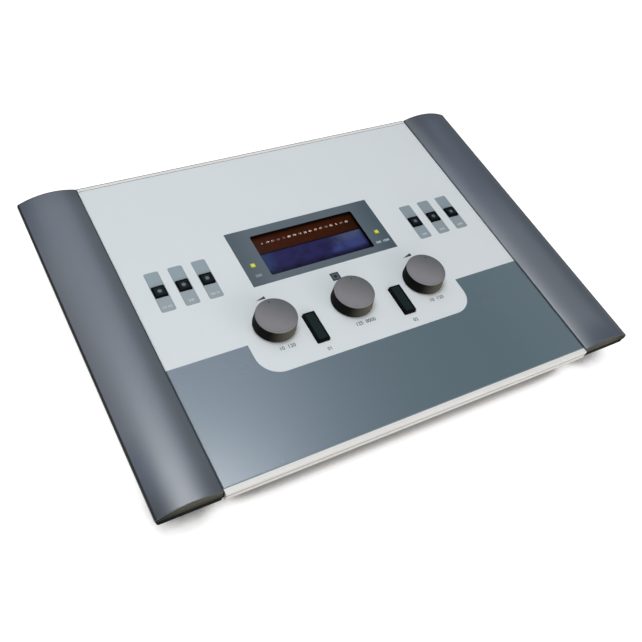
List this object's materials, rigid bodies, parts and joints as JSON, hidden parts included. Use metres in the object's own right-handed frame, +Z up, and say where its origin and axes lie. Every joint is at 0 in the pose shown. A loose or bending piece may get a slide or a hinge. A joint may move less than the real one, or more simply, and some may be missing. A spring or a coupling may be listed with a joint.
{
  "type": "portable audiometer",
  "caption": "Desktop audiometer: sloped white case with arched grey side wings, printed panel, knobs, push buttons, long interrupter keys, recessed display, rear jacks.",
  "frame": {"origin": "middle of the footprint, on the table under the feet", "axes": "+X to the user's right along the width, +Y rearwards, +Z up; the panel slopes up rearwards"},
  "size_m": [0.39, 0.2719, 0.0638],
  "materials": {
    "aluminium": "bare",
    "black_plastic": "matt",
    "board_green": "solder mask",
    "button_dark": "satin",
    "cable_grey": "flexible",
    "case_white": "fine moulded satin",
    "cell_dark": "gloss",
    "coil_amber": "taped coil",
    "cone_paper": "pressed paper",
    "film_print": "printed film, satin",
    "foot_rubber": "matt",
    "key_black": "fine texture",
    "knob_grey": "satin",
    "lamp_green": "translucent",
    "nickel": "nickel plated",
    "plate_grey": "powder coated",
    "steel": "zinc plated",
    "window_glass": "clear",
    "wing_grey": "satin"
  },
  "bodies": {
    "housing": {"board_chips": "black_plastic", "bone_jack": "black_plastic", "button_switches": "black_plastic", "case_screws": "steel", "connector_plate": "plate_grey", "connector_plate_screws": "steel", "control_board": "board_green", "control_board_screws": "steel", "control_header": "black_plastic", "data_port": "nickel", "display_board": "board_green", "display_cell": "cell_dark", "display_frame": "black_plastic", "display_holder": "steel", "display_spacers": "nickel", "display_window": "window_glass", "encoder_bodies": "steel", "encoder_nuts": "nickel", "filter_capacitors": "aluminium", "jack_nuts": "nickel", "key_bracket_left": "steel", "key_bracket_right": "steel", "key_pivot_pins": "steel", "key_switches": "black_plastic", "lower_case": "case_white", "main_board": "board_green", "main_board_screws": "steel", "main_header": "black_plastic", "monitor_speaker": "steel", "output_transformers": "coil_amber", "panel_film": "film_print", "phone_jack_left": "black_plastic", "phone_jack_right": "black_plastic", "power_inlet": "black_plastic", "regulator_sink": "aluminium", "response_jack": "black_plastic", "ribbon_cable": "cable_grey", "rubber_feet": "foot_rubber", "speaker_cone": "cone_paper", "status_lights": "lamp_green", "upper_case": "case_white", "wing_base_left": "black_plastic", "wing_base_right": "black_plastic", "wing_cover_left": "wing_grey", "wing_cover_right": "wing_grey", "wing_screws": "steel"},
    "knob_left": {"knob_left": "knob_grey", "encoder_shaft_left": "steel"},
    "knob_center": {"knob_center": "knob_grey", "encoder_shaft_center": "steel"},
    "knob_right": {"knob_right": "knob_grey", "encoder_shaft_right": "steel"},
    "key_left": {"interrupter_key_left": "key_black"},
    "key_right": {"interrupter_key_right": "key_black"},
    "button_1": {"push_button_1": "button_dark"},
    "button_2": {"push_button_2": "button_dark"},
    "button_3": {"push_button_3": "button_dark"},
    "button_4": {"push_button_4": "button_dark"},
    "button_5": {"push_button_5": "button_dark"},
    "button_6": {"push_button_6": "button_dark"}
  },
  "joints": [
    {"name": "knob_left_turn", "type": "hinge", "parent": "housing", "child": "knob_left", "pos_m": [-0.0644, -0.03107, 0.03932], "axis": [0, -0.1219, 0.9925], "continuous": true},
    {"name": "knob_center_turn", "type": "hinge", "parent": "housing", "child": "knob_center", "pos_m": [0, -0.03107, 0.03932], "axis": [0, -0.1219, 0.9925], "continuous": true},
    {"name": "knob_right_turn", "type": "hinge", "parent": "housing", "child": "knob_right", "pos_m": [0.0644, -0.03107, 0.03932], "axis": [0, -0.1219, 0.9925], "continuous": true},
    {"name": "button_1_press", "type": "slide", "parent": "housing", "child": "button_1", "axis": [0, 0.1219, -0.9925], "range_m": [0, 0.001], "stiffness_N_per_m": 800, "springref_m": -0.0003},
    {"name": "button_2_press", "type": "slide", "parent": "housing", "child": "button_2", "axis": [0, 0.1219, -0.9925], "range_m": [0, 0.001], "stiffness_N_per_m": 800, "springref_m": -0.0003},
    {"name": "button_3_press", "type": "slide", "parent": "housing", "child": "button_3", "axis": [0, 0.1219, -0.9925], "range_m": [0, 0.001], "stiffness_N_per_m": 800, "springref_m": -0.0003},
    {"name": "button_4_press", "type": "slide", "parent": "housing", "child": "button_4", "axis": [0, 0.1219, -0.9925], "range_m": [0, 0.001], "stiffness_N_per_m": 800, "springref_m": -0.0003},
    {"name": "button_5_press", "type": "slide", "parent": "housing", "child": "button_5", "axis": [0, 0.1219, -0.9925], "range_m": [0, 0.001], "stiffness_N_per_m": 800, "springref_m": -0.0003},
    {"name": "button_6_press", "type": "slide", "parent": "housing", "child": "button_6", "axis": [0, 0.1219, -0.9925], "range_m": [0, 0.001], "stiffness_N_per_m": 800, "springref_m": -0.0003},
    {"name": "key_left_tip", "type": "hinge", "parent": "housing", "child": "key_left", "pos_m": [-0.0373, -0.03438, 0.03267], "axis": [1, 0, 0], "range_deg": [0, 3.5], "stiffness_Nm_per_rad": 0.5, "springref_deg": -1.15},
    {"name": "key_right_tip", "type": "hinge", "parent": "housing", "child": "key_right", "pos_m": [0.0373, -0.03438, 0.03267], "axis": [1, 0, 0], "range_deg": [0, 3.5], "stiffness_Nm_per_rad": 0.5, "springref_deg": -1.15}
  ]
}
